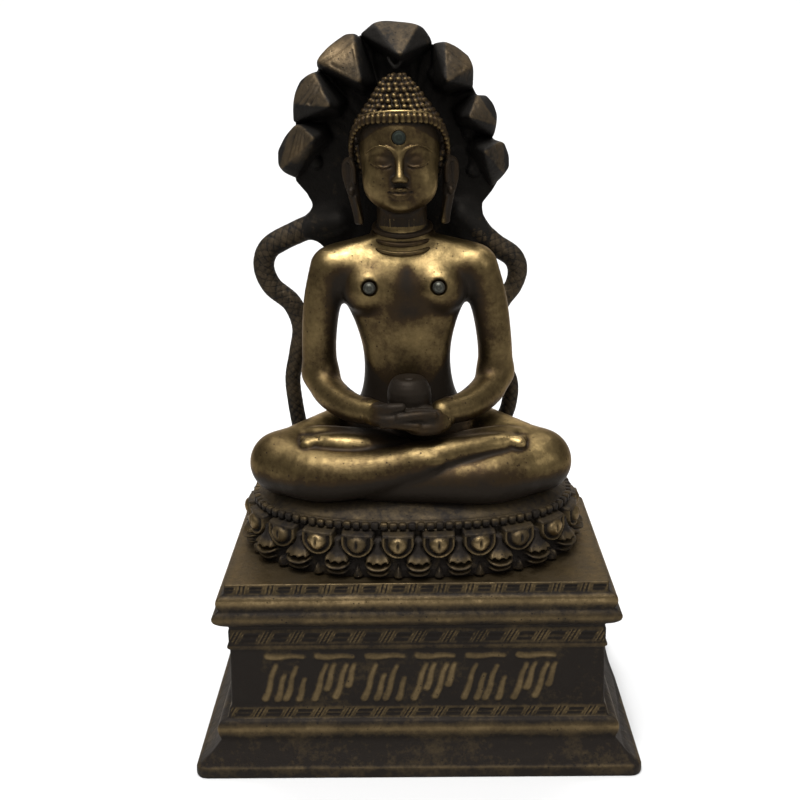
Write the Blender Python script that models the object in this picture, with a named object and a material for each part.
"""A seated figure on a lotus seat, sheltered by a many-headed serpent hood, on a stepped plinth.

Metres, +Z up. The origin is at the middle of the plinth's underside and the figure faces -Y.
The sizes below are in millimetres and are scaled once, when a mesh is made.
"""
import math

import bmesh
import bpy
from mathutils import Matrix, Vector

MM = 0.001

# Plinth. Each level is (height, inset from the foot's half width); the fronts step in less than the ends.
FOOT_HALF_WIDTH = 93.2
FOOT_HALF_DEPTH = 59.0
FRONT_SHARE = 0.55
FOOT_CORNER = 5.0
PLINTH_LEVELS = (
    (0.0, 0.4), (0.8, 0.0), (4.2, 0.2), (4.7, 1.6), (7.2, 4.2), (10.4, 7.6), (14.3, 11.0),
    (15.0, 11.0), (16.4, 10.2), (19.2, 9.6), (22.0, 10.2), (23.4, 11.6),
    (23.8, 14.2), (28.4, 15.0), (28.9, 15.8), (55.2, 16.6),
    (55.7, 15.4), (57.0, 15.4), (57.4, 16.2), (64.0, 16.2), (64.4, 17.0), (65.6, 16.6),
    (67.0, 13.0), (68.6, 10.6), (70.6, 10.0), (72.2, 11.2), (73.2, 13.2),
    (73.8, 13.2), (75.0, 12.3), (77.0, 12.0), (79.0, 12.6), (79.8, 14.2),
    (80.1, 15.4), (84.6, 15.8),
)
PLINTH_TOP = PLINTH_LEVELS[-1][0]

# Inscribed face: groups of shallow raised strokes across the front.
DADO_LOW, DADO_HIGH = PLINTH_LEVELS[14][0], PLINTH_LEVELS[15][0]
STROKE_GROUPS = 6
STROKE_PITCH = 20.6
STROKE_WIDTH = 2.3
STROKE_RISE = 0.55
STROKE_LENGTH = 16.0
STROKE_STEP = 4.3
STROKE_SHARES = (1.0, 0.7, 0.95, 0.6)
STROKE_SLANT = math.radians(17)
STROKE_TOP = 9.8
STROKE_DROP = 1.9
STROKE_CENTRE_X = -2.6

# Lotus seat.
LIFT = 0.3
SEAT_X = -1.3
SEAT_LOW = PLINTH_TOP + LIFT
RIM_Z = 106.3
PAD_TOP = 113.2
SEAT_DEPTH_SHARE = 0.635
SEAT_ROUND = 2.35
SEAT_LEVELS = (
    (SEAT_LOW, 69.5), (88.5, 70.5), (94.0, 67.5), (100.0, 66.0), (104.4, 65.6), (105.0, 67.6), (106.3, 68.4),
    (107.6, 67.4), (108.4, 65.2), (110.8, 62.6), (112.4, 60.0), (PAD_TOP, 56.0),
)
OVAL_STEPS = 720
PETALS = 22
UPPER_SHARE, LOWER_SHARE = 0.655, 0.155
# Each row of petals: height, half sizes, half width of the oval they stand on, its first place in
# shares of the pitch from the front, tilt.
PETAL_ROWS = (
    (100.2, (6.8, 3.3, 5.7), 69.4, UPPER_SHARE, math.radians(12)),
    (94.2, (4.8, 3.0, 3.6), 71.0, LOWER_SHARE, math.radians(-10)),
    (89.2, (5.4, 3.0, 2.0), 71.6, LOWER_SHARE, 0.0),
)

# Figure. Sizes are for an upright figure; the casting leans a little to its right.
LEAN = 0.022
KNEE = (54.0, -15.0, 123.8)
HIP = (20.0, 8.0, 128.0)
SHOULDER = (29.4, 1.0, 202.6)
ELBOW = (37.2, 3.0, 157.5)
WRIST = (14.0, -25.0, 148.6)
TORSO = (
    (111.5, 9.0, 30.0, 18.0), (120.0, 9.0, 32.0, 20.0), (132.0, 7.0, 29.0, 18.5), (142.0, 4.5, 23.5, 16.5),
    (150.0, 3.0, 19.8, 14.6), (160.0, 2.0, 18.2, 13.2), (170.0, 1.6, 18.6, 13.0), (180.0, 1.2, 21.0, 13.6),
    (188.0, 1.0, 24.2, 14.2), (196.0, 1.2, 28.0, 14.4), (204.0, 1.8, 32.5, 12.6), (209.0, 2.4, 33.0, 10.2),
    (212.4, 3.0, 28.5, 8.6), (214.6, 3.2, 20.0, 8.6), (216.6, 3.2, 12.0, 9.6),
)
NECK = (
    (208.0, 3.4, 13.0, 11.0), (214.0, 3.2, 11.8, 11.2), (217.5, 3.0, 10.6, 10.6), (232.0, 2.6, 10.0, 10.4),
)
NECK_FOLDS = ((215.8, 12.6), (219.4, 11.9), (223.0, 11.4))
FACE = (
    (227.6, -3.6, 5.2, 7.0), (229.6, -2.0, 8.2, 10.2), (234.0, -0.4, 11.6, 13.6), (240.0, 0.8, 14.2, 15.2),
    (247.0, 1.2, 15.6, 16.0), (255.0, 1.6, 15.8, 16.2), (262.0, 2.4, 15.2, 15.8), (266.0, 3.0, 12.0, 12.0),
)
HAIR = (
    (236.0, 9.0, 12.5, 10.5), (242.0, 8.0, 17.0, 13.2), (249.0, 7.4, 19.4, 14.4), (256.0, 6.2, 20.0, 15.8),
    (260.0, 5.2, 18.6, 16.8), (263.4, 4.6, 16.4, 16.2), (266.0, 4.2, 14.4, 14.4), (270.0, 3.6, 11.4, 11.6),
    (274.0, 3.0, 8.6, 8.6), (277.0, 2.6, 6.2, 6.2), (278.8, 2.4, 3.9, 3.9), (279.4, 2.4, 2.2, 2.2),
)
THIGH = ((*HIP, 16.0), (37.0, -3.0, 125.6, 14.4), (*KNEE, 12.4))
NEAR_SHIN = (
    (-54.0, -15.0, 123.8, 12.4), (-36.0, -27.0, 122.8, 12.0), (-8.0, -30.5, 122.6, 11.2),
    (9.0, -30.0, 127.6, 8.6),
)
NEAR_FOOT = (
    (9.0, -30.0, 128.0, 7.8), (24.0, -28.6, 130.4, 6.2), (37.0, -25.0, 131.8, 5.3),
    (45.0, -20.4, 131.8, 4.4),
)
NEAR_SOLE = (
    (13.0, -23.0, 131.0, 6.4), (27.0, -20.0, 133.4, 5.8), (39.0, -16.6, 134.2, 5.2),
    (45.0, -15.0, 133.6, 4.2),
)
FAR_SHIN = ((*KNEE, 12.2), (34.0, -26.0, 121.6, 11.4), (8.0, -24.0, 121.0, 9.4), (-8.0, -18.0, 127.0, 8.0))
FAR_FOOT = (
    (-8.0, -22.0, 129.0, 7.2), (-24.0, -24.6, 131.4, 6.0), (-36.0, -22.6, 132.4, 5.0),
    (-42.0, -18.6, 132.0, 4.2),
)
FAR_SOLE = (
    (-12.0, -16.0, 131.6, 6.4), (-26.0, -17.4, 134.0, 5.8), (-37.0, -14.6, 134.6, 5.0),
    (-42.0, -13.0, 134.0, 4.0),
)
UPPER_ARM = ((*SHOULDER, 9.4), (34.4, 1.0, 189.0, 7.8), (36.8, 1.6, 172.0, 7.2), (*ELBOW, 7.4))
FOREARM = ((*ELBOW, 7.3), (33.0, -5.0, 151.6, 7.0), (24.0, -17.0, 148.6, 6.2), (*WRIST, 5.2))
PALM = (7.0, -28.5, 148.0)
PALM_SIZE = (9.5, 7.4, 4.4)
PALM_TURN = math.radians(10)
LOWER_HAND_DROP = 3.0
FINGER = ((3.0, 149.0, 2.2), (-4.0, 149.8, 2.1), (-10.5, 149.6, 1.7))
FINGERS_FROM_Y = -33.6
FINGER_PITCH = 3.5
THUMB = ((11.0, -31.0, 150.0, 2.4), (5.0, -33.0, 152.4, 2.0))
BREAST = (14.2, -5.6, 195.4)
BREAST_SIZE = (11.4, 9.4, 10.6)
EAR = (20.3, 5.0, 234.2)
POT = ((147.5, 8.2), (151.0, 9.0), (155.0, 9.0), (158.2, 8.5), (160.4, 7.3), (161.4, 6.2), (160.8, 4.4))
POT_AT = (0.6, -20.0)

# Serpent hood.
HOOD_CENTRE = (-1.5, 246.0)
CANOPY_BACK = 30.0
CANOPY_THICK = 4.6
CANOPY_DISH = 9.0
CANOPY_LEVELS = (
    (203.0, -18.5, 15.5), (204.6, -27.5, 24.5), (208.0, -34.5, 31.0), (214.0, -37.4, 32.8),
    (221.0, -37.3, 32.6), (226.0, -37.6, 33.9), (231.0, -40.0, 37.9), (236.5, -44.2, 41.2),
    (246.0, -44.9, 40.4), (256.0, -43.4, 37.4), (266.0, -41.0, 34.2), (276.0, -36.4, 29.4),
    (284.0, -29.8, 22.4), (290.0, -22.4, 14.8), (294.0, -14.4, 8.4),
)
# Each head: its rim as (degrees from the top, reach), its two brows and its snout as (x, z), and its crest.
HEADS = (
    (((-71.5, 43.5), (-78.0, 46.6), (-86.0, 49.4), (-93.0, 49.5), (-97.0, 47.5), (-101.0, 43.0)),
     ((-41.9, 260.3), (-48.6, 243.0)), (-34.4, 255.2), 0.3),
    (((-71.0, 44.5), (-61.0, 47.5), (-55.6, 48.8), (-50.5, 49.4), (-45.0, 48.2), (-41.0, 46.5)),
     ((-33.4, 279.6), (-42.0, 268.6)), (-27.4, 268.0), 1.4),
    (((-40.7, 48.0), (-36.5, 50.3), (-29.7, 51.6), (-21.0, 52.6), (-16.5, 51.4), (-15.0, 49.5)),
     ((-17.0, 294.2), (-32.0, 284.8)), (-14.8, 277.2), 1.8),
    (((-15.0, 50.5), (-7.5, 53.8), (-3.0, 54.2), (9.0, 53.6), (13.5, 52.9), (18.0, 50.0), (20.0, 47.7)),
     ((8.6, 297.4), (-7.6, 298.0)), (1.6, 287.0), 0.0),
    (((20.2, 48.0), (24.9, 50.3), (31.0, 50.8), (38.0, 50.3), (43.0, 47.9), (50.0, 42.3)),
     ((30.4, 281.9), (20.0, 290.9)), (19.9, 276.8), 1.8),
    (((53.0, 41.0), (57.0, 44.9), (63.0, 45.7), (69.0, 45.1), (77.0, 42.2), (80.0, 40.6)),
     ((39.2, 258.8), (31.8, 270.0)), (28.6, 262.8), 1.0),
    (((80.6, 41.5), (83.0, 45.0), (90.0, 46.8), (96.0, 47.0), (101.0, 44.9), (108.0, 41.3)),
     ((41.8, 240.0), (41.4, 252.0)), (34.2, 248.9), 0.8),
)
EDGE_FRONT, EDGE_BACK = 15.5, 25.0
EDGE_ROUND = 1.8
BROW_Y = 11.5
SNOUT_Y = 0.8
SNOUT_HALF = 1.5
JAW = 3.2
BODY_Y = 22.0
LEFT_BODY = (
    (-28.0, 219.0, 5.0), (-37.0, 217.6, 5.0), (-46.0, 214.3, 4.8), (-57.0, 208.6, 4.6), (-60.6, 200.6, 4.4),
    (-57.8, 191.6, 4.3), (-49.5, 183.6, 4.2), (-46.2, 173.0, 4.0), (-48.6, 161.5, 3.6), (-51.4, 150.0, 3.3),
    (-51.0, 138.0, 3.3), (-49.6, 126.0, 3.4), (-48.0, PAD_TOP + LIFT, 3.6),
)
RIGHT_BODY = (
    (25.0, 221.0, 5.0), (32.0, 214.0, 5.0), (38.7, 208.2, 4.7), (46.0, 203.2, 4.5), (48.4, 197.4, 4.2),
    (46.6, 190.2, 3.7), (40.8, 182.0, 3.7), (38.0, 170.0, 3.7), (40.6, 157.5, 3.6), (44.8, 146.5, 3.4),
    (44.0, 136.0, 3.3), (40.4, 126.0, 3.4), (39.0, PAD_TOP + LIFT, 3.6),
)

# Inlays, each in a socket with an even gap round it.
INLAY_GAP = 0.3
STUD = (13.9, -15.2, 197.7)
STUD_RADIUS = 2.5
STUD_HEIGHT = 1.8
URNA = (0.2, -14.9, 256.4)
URNA_RADIUS = 2.6
URNA_HEIGHT = 1.2

# Surface of the cast pieces.
VOXEL = 0.95
FIGURE_SHARE = 0.0275
HOOD_SHARE = 0.0285


def clear_scene():
    """Empties the scene."""
    for obj in list(bpy.data.objects):
        bpy.data.objects.remove(obj, do_unlink=True)


def metal(name, colour, roughness, metallic=0.9):
    """A material with one plain colour."""
    made = bpy.data.materials.new(name)
    made.use_nodes = True
    shader = made.node_tree.nodes["Principled BSDF"]
    shader.inputs["Base Color"].default_value = (*colour, 1.0)
    shader.inputs["Roughness"].default_value = roughness
    shader.inputs["Metallic"].default_value = metallic
    return made


def place(name, shape, material=None):
    """Turns a bmesh in millimetres into a named object in metres."""
    bmesh.ops.recalc_face_normals(shape, faces=shape.faces)
    bmesh.ops.scale(shape, vec=(MM, MM, MM), verts=shape.verts)
    mesh = bpy.data.meshes.new(name)
    shape.to_mesh(mesh)
    shape.free()
    made = bpy.data.objects.new(name, mesh)
    bpy.context.scene.collection.objects.link(made)
    if material:
        mesh.materials.append(material)
    return made


def ring(half_width, half_depth, centre, count, power=2.0):
    """Points of a level oval; a power above 2 squares its corners."""
    points = []
    for i in range(count):
        turn = 2 * math.pi * i / count
        c, s = math.cos(turn), math.sin(turn)
        x = math.copysign(abs(c) ** (2 / power), c) * half_width
        y = math.copysign(abs(s) ** (2 / power), s) * half_depth
        points.append(Vector((centre[0] + x, centre[1] + y, centre[2])))
    return points


def skin(shape, rings):
    """A closed body through rings of equally many points."""
    loops = [[shape.verts.new(point) for point in points] for points in rings]
    for low, high in zip(loops, loops[1:]):
        for i in range(len(low)):
            j = (i + 1) % len(low)
            shape.faces.new((low[i], low[j], high[j], high[i]))
    shape.faces.new(loops[0][::-1])
    shape.faces.new(loops[-1])


def stack(shape, levels, x=0.0, power=2.0, count=32):
    """A body of level ovals, each level (height, middle y, half width, half depth)."""
    skin(shape, [ring(w, d, (x, y, z), count, power) for z, y, w, d in levels])


def ball(shape, centre, radii, turn=None, bands=10, count=16):
    """An ellipsoid, turned before it is placed."""
    matrix = Matrix.Translation(centre) @ (turn or Matrix()) @ Matrix.Diagonal((*radii, 1.0))
    rings = []
    for band in range(bands):
        tilt = math.pi * ((band + 0.25) / (bands - 0.5) - 0.5)
        level = ring(math.cos(tilt), math.cos(tilt), (0.0, 0.0, math.sin(tilt)), count)
        rings.append([matrix @ point for point in level])
    skin(shape, rings)


def smooth_path(points, steps=6):
    """Points along a smooth curve through the given points; extra values such as radii are carried along."""
    ends = [points[0], *points, points[-1]]
    path = []
    for a, b, c, d in zip(ends, ends[1:], ends[2:], ends[3:]):
        for step in range(steps):
            t = step / steps
            path.append(tuple(
                q + 0.5 * t * (r - p + t * (2 * p - 5 * q + 4 * r - s + t * (3 * (q - r) + s - p)))
                for p, q, r, s in zip(a, b, c, d)
            ))
    path.append(tuple(points[-1]))
    return path


def limb(shape, points, flat=1.0, count=16, round_ends=True):
    """A tube along (x, y, z, radius) points; flat thins it front to back."""
    path = smooth_path(points)
    rings = []
    for i, (x, y, z, radius) in enumerate(path):
        before, after = path[max(i - 1, 0)], path[min(i + 1, len(path) - 1)]
        along = Vector(after[:3]) - Vector(before[:3])
        side = along.cross(Vector((0, 1, 0))).normalized()
        front = side.cross(along).normalized()
        turns = [2 * math.pi * k / count for k in range(count)]
        middle = Vector((x, y, z))
        rings.append([
            middle + (side * math.cos(turn) + front * flat * math.sin(turn)) * radius for turn in turns
        ])
    skin(shape, rings)
    for end in (path[0], path[-1]) if round_ends else ():
        ball(shape, end[:3], (end[3], end[3] * flat, end[3]))


def mirrored(point):
    """The same point on the other side of the figure."""
    return (-point[0], *point[1:])


def around_seat(count, half_width, share):
    """Evenly spaced places round the seat's oval, from its front: (x, y, direction outwards)."""
    fine = ring(half_width, half_width * SEAT_DEPTH_SHARE, (SEAT_X, 0, 0), OVAL_STEPS, SEAT_ROUND)
    lengths = [(fine[(i + 1) % OVAL_STEPS] - point).length for i, point in enumerate(fine)]
    pitch = sum(lengths) / count
    found, walked, i = [], 0.0, OVAL_STEPS * 3 // 4
    while len(found) < count:
        if walked >= pitch * (len(found) + share):
            along = (fine[(i + 1) % OVAL_STEPS] - fine[i - 1]).normalized()
            found.append((fine[i].x, fine[i].y, math.atan2(-along.x, along.y)))
        walked += lengths[i]
        i = (i + 1) % OVAL_STEPS
    return found


def make_plinth(material):
    """The stepped plinth, with its strokes raised on the front."""
    shape = bmesh.new()
    rings = []
    for z, inset in PLINTH_LEVELS:
        w, d = FOOT_HALF_WIDTH - inset, FOOT_HALF_DEPTH - inset * FRONT_SHARE
        corner = FOOT_CORNER * max(0.2, 1 - inset / 8)
        quarter = [(w - corner, d), (w - corner * 0.3, d - corner * 0.3), (w, d - corner)]
        points = quarter[::-1] + [(-x, y) for x, y in quarter]
        points += [(-x, -y) for x, y in quarter[::-1]] + [(x, -y) for x, y in quarter]
        rings.append([Vector((x, y, z)) for x, y in points])
    skin(shape, rings)
    plinth = place("plinth", shape, material)

    strokes = bmesh.new()
    front = -(FOOT_HALF_DEPTH - PLINTH_LEVELS[15][1] * FRONT_SHARE)
    middle = (DADO_LOW + DADO_HIGH) / 2
    for group in range(STROKE_GROUPS):
        x = STROKE_CENTRE_X + STROKE_PITCH * (group - (STROKE_GROUPS - 1) / 2)
        bars = [(0.0, STROKE_TOP, STROKE_PITCH * 0.7, math.pi / 2)]
        for slot, share in enumerate(STROKE_SHARES):
            lift = STROKE_LENGTH * (share - 1) / 2 * (-1) ** group
            bars.append(((slot - 1.5) * STROKE_STEP, lift - STROKE_DROP, STROKE_LENGTH * share, STROKE_SLANT))
        for dx, dz, length, turn in bars:
            matrix = Matrix.Translation((x + dx, front, middle + dz)) @ Matrix.Rotation(turn, 4, "Y")
            size = Matrix.Diagonal((STROKE_WIDTH, STROKE_RISE * 2, length, 1.0))
            bmesh.ops.create_cube(strokes, size=1.0, matrix=matrix @ size)
    marks = place("plinth_strokes", strokes)
    marks.hide_render = True
    marks.display_type = "WIRE"
    union = plinth.modifiers.new("strokes", "BOOLEAN")
    union.operation = "UNION"
    union.solver = "EXACT"
    union.use_self = True
    union.object = marks


def add_seat(shape):
    """The lotus seat: core, rim and two rows of petals."""
    stack(shape, [(z, 0.0, w, w * SEAT_DEPTH_SHARE) for z, w in SEAT_LEVELS], SEAT_X, SEAT_ROUND, 64)
    for z, size, half_width, share, tilt in PETAL_ROWS:
        for x, y, outward in around_seat(PETALS, half_width, share):
            turn = Matrix.Rotation(outward - math.pi / 2, 4, "Z") @ Matrix.Rotation(tilt, 4, "X")
            ball(shape, (x, y, z), size, turn)


def add_legs(shape):
    """Crossed legs with both feet drawn up on the thighs."""
    for points in (THIGH, NEAR_SHIN, NEAR_FOOT, NEAR_SOLE, FAR_SHIN, FAR_FOOT, FAR_SOLE):
        limb(shape, points)
    limb(shape, [mirrored(point) for point in THIGH])


def add_arms(shape):
    """Both arms, shoulder to wrist."""
    for points in (UPPER_ARM, FOREARM):
        limb(shape, points)
        limb(shape, [mirrored(point) for point in points])


def add_hands_and_pot(shape):
    """One hand laid on the other in the lap, with a small round pot on them."""
    for side, drop in ((-1, 0.0), (1, LOWER_HAND_DROP)):
        turn = Matrix.Rotation(PALM_TURN * side, 4, "Z")
        ball(shape, (side * PALM[0], PALM[1], PALM[2] - drop), PALM_SIZE, turn)
        for finger in range(4):
            y = FINGERS_FROM_Y + FINGER_PITCH * finger
            limb(shape, [(side * x, y, z - drop, radius) for x, z, radius in FINGER])
        limb(shape, [(side * x, y, z - drop, radius) for x, y, z, radius in THUMB])
    skin(shape, [ring(r, r, (*POT_AT, z), 24) for z, r in POT])


def add_head(shape):
    """Neck, face, hair with its crown, and long ears."""
    stack(shape, NECK)
    for z, radius in NECK_FOLDS:
        ball(shape, (0, 2.9, z), (radius, radius, 1.7))
    stack(shape, FACE)
    stack(shape, HAIR)
    brow, nose_low = 249.5, 239.6
    limb(shape, [(0, -12.8, brow, 1.3), (0, -16.2, 244.5, 1.7), (0, -18.0, nose_low + 1.6, 2.1)])
    for side in (-1, 1):
        ball(shape, (side * 2.2, -15.8, nose_low + 1.4), (1.7, 1.7, 1.5))
        ball(shape, (side * 6.6, -12.2, 246.0), (4.2, 2.2, 2.4))
        ball(shape, (side * EAR[0], EAR[1], EAR[2]), (2.9, 4.6, 12.8))
    ball(shape, (0, -15.0, 235.4), (4.6, 1.7, 1.1))
    ball(shape, (0, -14.6, 233.4), (3.8, 1.7, 1.1))
    ball(shape, (0, -12.6, 229.8), (4.2, 2.6, 2.6))


def socket(owner, name, centre, radii):
    """Cuts the place of an inlay into its owner."""
    shape = bmesh.new()
    ball(shape, centre, [radius + INLAY_GAP for radius in radii], bands=6, count=12)
    lean(shape)
    cutter = place(name + "_socket", shape)
    cutter.hide_render = True
    cutter.display_type = "WIRE"
    cut = owner.modifiers.new(name, "BOOLEAN")
    cut.operation = "DIFFERENCE"
    cut.solver = "EXACT"
    cut.object = cutter


def make_inlay(name, centre, radii, material):
    """One inlay, an ellipsoid half sunk in its socket."""
    shape = bmesh.new()
    ball(shape, centre, radii, bands=6, count=12)
    lean(shape)
    place(name, shape, material)


def lean(shape):
    """Tips everything above the seat towards the figure's right."""
    for vert in shape.verts:
        vert.co.x += SEAT_X - LEAN * max(vert.co.z - RIM_Z, 0.0)


def cast(obj, share):
    """Fuses an object's overlapping bodies into one skin and thins it out."""
    remesh = obj.modifiers.new("fuse", "REMESH")
    remesh.mode = "VOXEL"
    remesh.voxel_size = VOXEL * MM
    remesh.adaptivity = 0.0
    soften = obj.modifiers.new("soften", "SMOOTH")
    soften.factor = 0.5
    soften.iterations = 3
    thin = obj.modifiers.new("thin", "DECIMATE")
    thin.ratio = share


def make_figure(material):
    """The figure and its lotus seat, one casting."""
    shape = bmesh.new()
    add_legs(shape)
    stack(shape, TORSO, power=2.3)
    add_arms(shape)
    for centre in (BREAST, mirrored(BREAST)):
        ball(shape, centre, BREAST_SIZE)
    add_hands_and_pot(shape)
    add_head(shape)
    lean(shape)
    add_seat(shape)
    figure = place("buddha_on_lotus", shape, material)
    cast(figure, FIGURE_SHARE)
    stud = (STUD_RADIUS, STUD_HEIGHT, STUD_RADIUS)
    socket(figure, "chest_stud_left", STUD, stud)
    socket(figure, "chest_stud_right", mirrored(STUD), stud)
    socket(figure, "forehead_inlay", URNA, (URNA_RADIUS, URNA_HEIGHT, URNA_RADIUS))


def add_canopy(shape):
    """The dished sheet behind the heads, narrowing to the two bodies."""
    low, high = CANOPY_LEVELS[0][0], CANOPY_LEVELS[-1][0]
    rings = []
    for z, left, right in CANOPY_LEVELS:
        points = []
        for x, back, _ in ring((right - left) / 2, 0.5, ((left + right) / 2, 0.0, 0.0), 28):
            rise = (z - (low + high) / 2) / (high - low) * 2
            off = (x - HOOD_CENTRE[0]) / 44.0
            y = CANOPY_BACK - CANOPY_DISH * (0.7 * off ** 2 + 0.5 * max(rise, 0.0) ** 2)
            points.append(Vector((x, y - CANOPY_THICK * (0.5 - back), z)))
        rings.append(points)
    skin(shape, rings)


def on_hood(angle, reach, y):
    """A point at an angle from the hood's top and a reach from its centre."""
    turn = math.radians(angle)
    return Vector((HOOD_CENTRE[0] + math.sin(turn) * reach, y, HOOD_CENTRE[1] + math.cos(turn) * reach))


def add_serpent_head(shape, rim, brows, snout, crest):
    """One head: a facet falling from the rim to the snout, its two flanks, and the neck behind it."""
    first, second = (Vector((x, BROW_Y, z)) for x, z in brows)
    tip = Vector((snout[0], SNOUT_Y, snout[1]))
    inward = tip - (first + second) / 2
    inward.y = 0
    inward.normalize()
    across = Vector((inward.z, 0, -inward.x))
    corners = [on_hood(angle, reach, EDGE_FRONT) for angle, reach in rim]
    corners += [on_hood(angle, reach - EDGE_ROUND, EDGE_BACK) for angle, reach in rim]
    for brow in (first, second):
        corners += [brow, brow.lerp(tip, 0.42) - Vector((0, crest, 0))]
    for side in (-1, 1):
        corners.append(tip + across * SNOUT_HALF * side)
        corners.append(tip + inward * 6.0 + across * 4.0 * side + Vector((0, 23.0, 0)))
    corners.append(tip + inward * JAW + Vector((0, 4.6, 0)))
    hull = bmesh.ops.convex_hull(shape, input=[shape.verts.new(corner) for corner in corners])
    bmesh.ops.delete(shape, geom=hull["geom_interior"], context="VERTS")
    angle = (rim[0][0] + rim[-1][0]) / 2
    reach = max(reach for _, reach in rim)
    half_width = reach * math.sin(math.radians(abs(rim[-1][0] - rim[0][0]) / 2))
    neck = ((5.0, 0.36, 27.0), (20.0, 0.46, 26.0), (34.0, 0.58, 23.5), (reach - 14.0, 0.62, 21.0))
    limb(shape, [(*on_hood(angle, r, y), half_width * w) for r, w, y in neck], flat=0.4)


def make_hood(material):
    """The serpent: seven heads, canopy and two bodies running down to the seat."""
    shape = bmesh.new()
    add_canopy(shape)
    for head in HEADS:
        add_serpent_head(shape, *head)
    for body in (LEFT_BODY, RIGHT_BODY):
        limb(shape, [(x, BODY_Y, z, r) for x, z, r in body], round_ends=False)
    lean(shape)
    cast(place("naga_hood", shape, material), HOOD_SHARE)


clear_scene()
dark_bronze = metal("dark_bronze", (0.10, 0.075, 0.05), 0.45)
brass = metal("brass", (0.42, 0.31, 0.15), 0.32)
blackened = metal("blackened_bronze", (0.05, 0.04, 0.03), 0.5)
stud_metal = metal("stud_metal", (0.30, 0.31, 0.29), 0.3)
dark_stone = metal("dark_stone", (0.03, 0.035, 0.03), 0.25, 0.0)
make_plinth(dark_bronze)
make_figure(brass)
make_hood(blackened)
for stud_name, stud_at in (("chest_stud_left", STUD), ("chest_stud_right", mirrored(STUD))):
    make_inlay(stud_name, stud_at, (STUD_RADIUS, STUD_HEIGHT, STUD_RADIUS), stud_metal)
make_inlay("forehead_inlay", URNA, (URNA_RADIUS, URNA_HEIGHT, URNA_RADIUS), dark_stone)
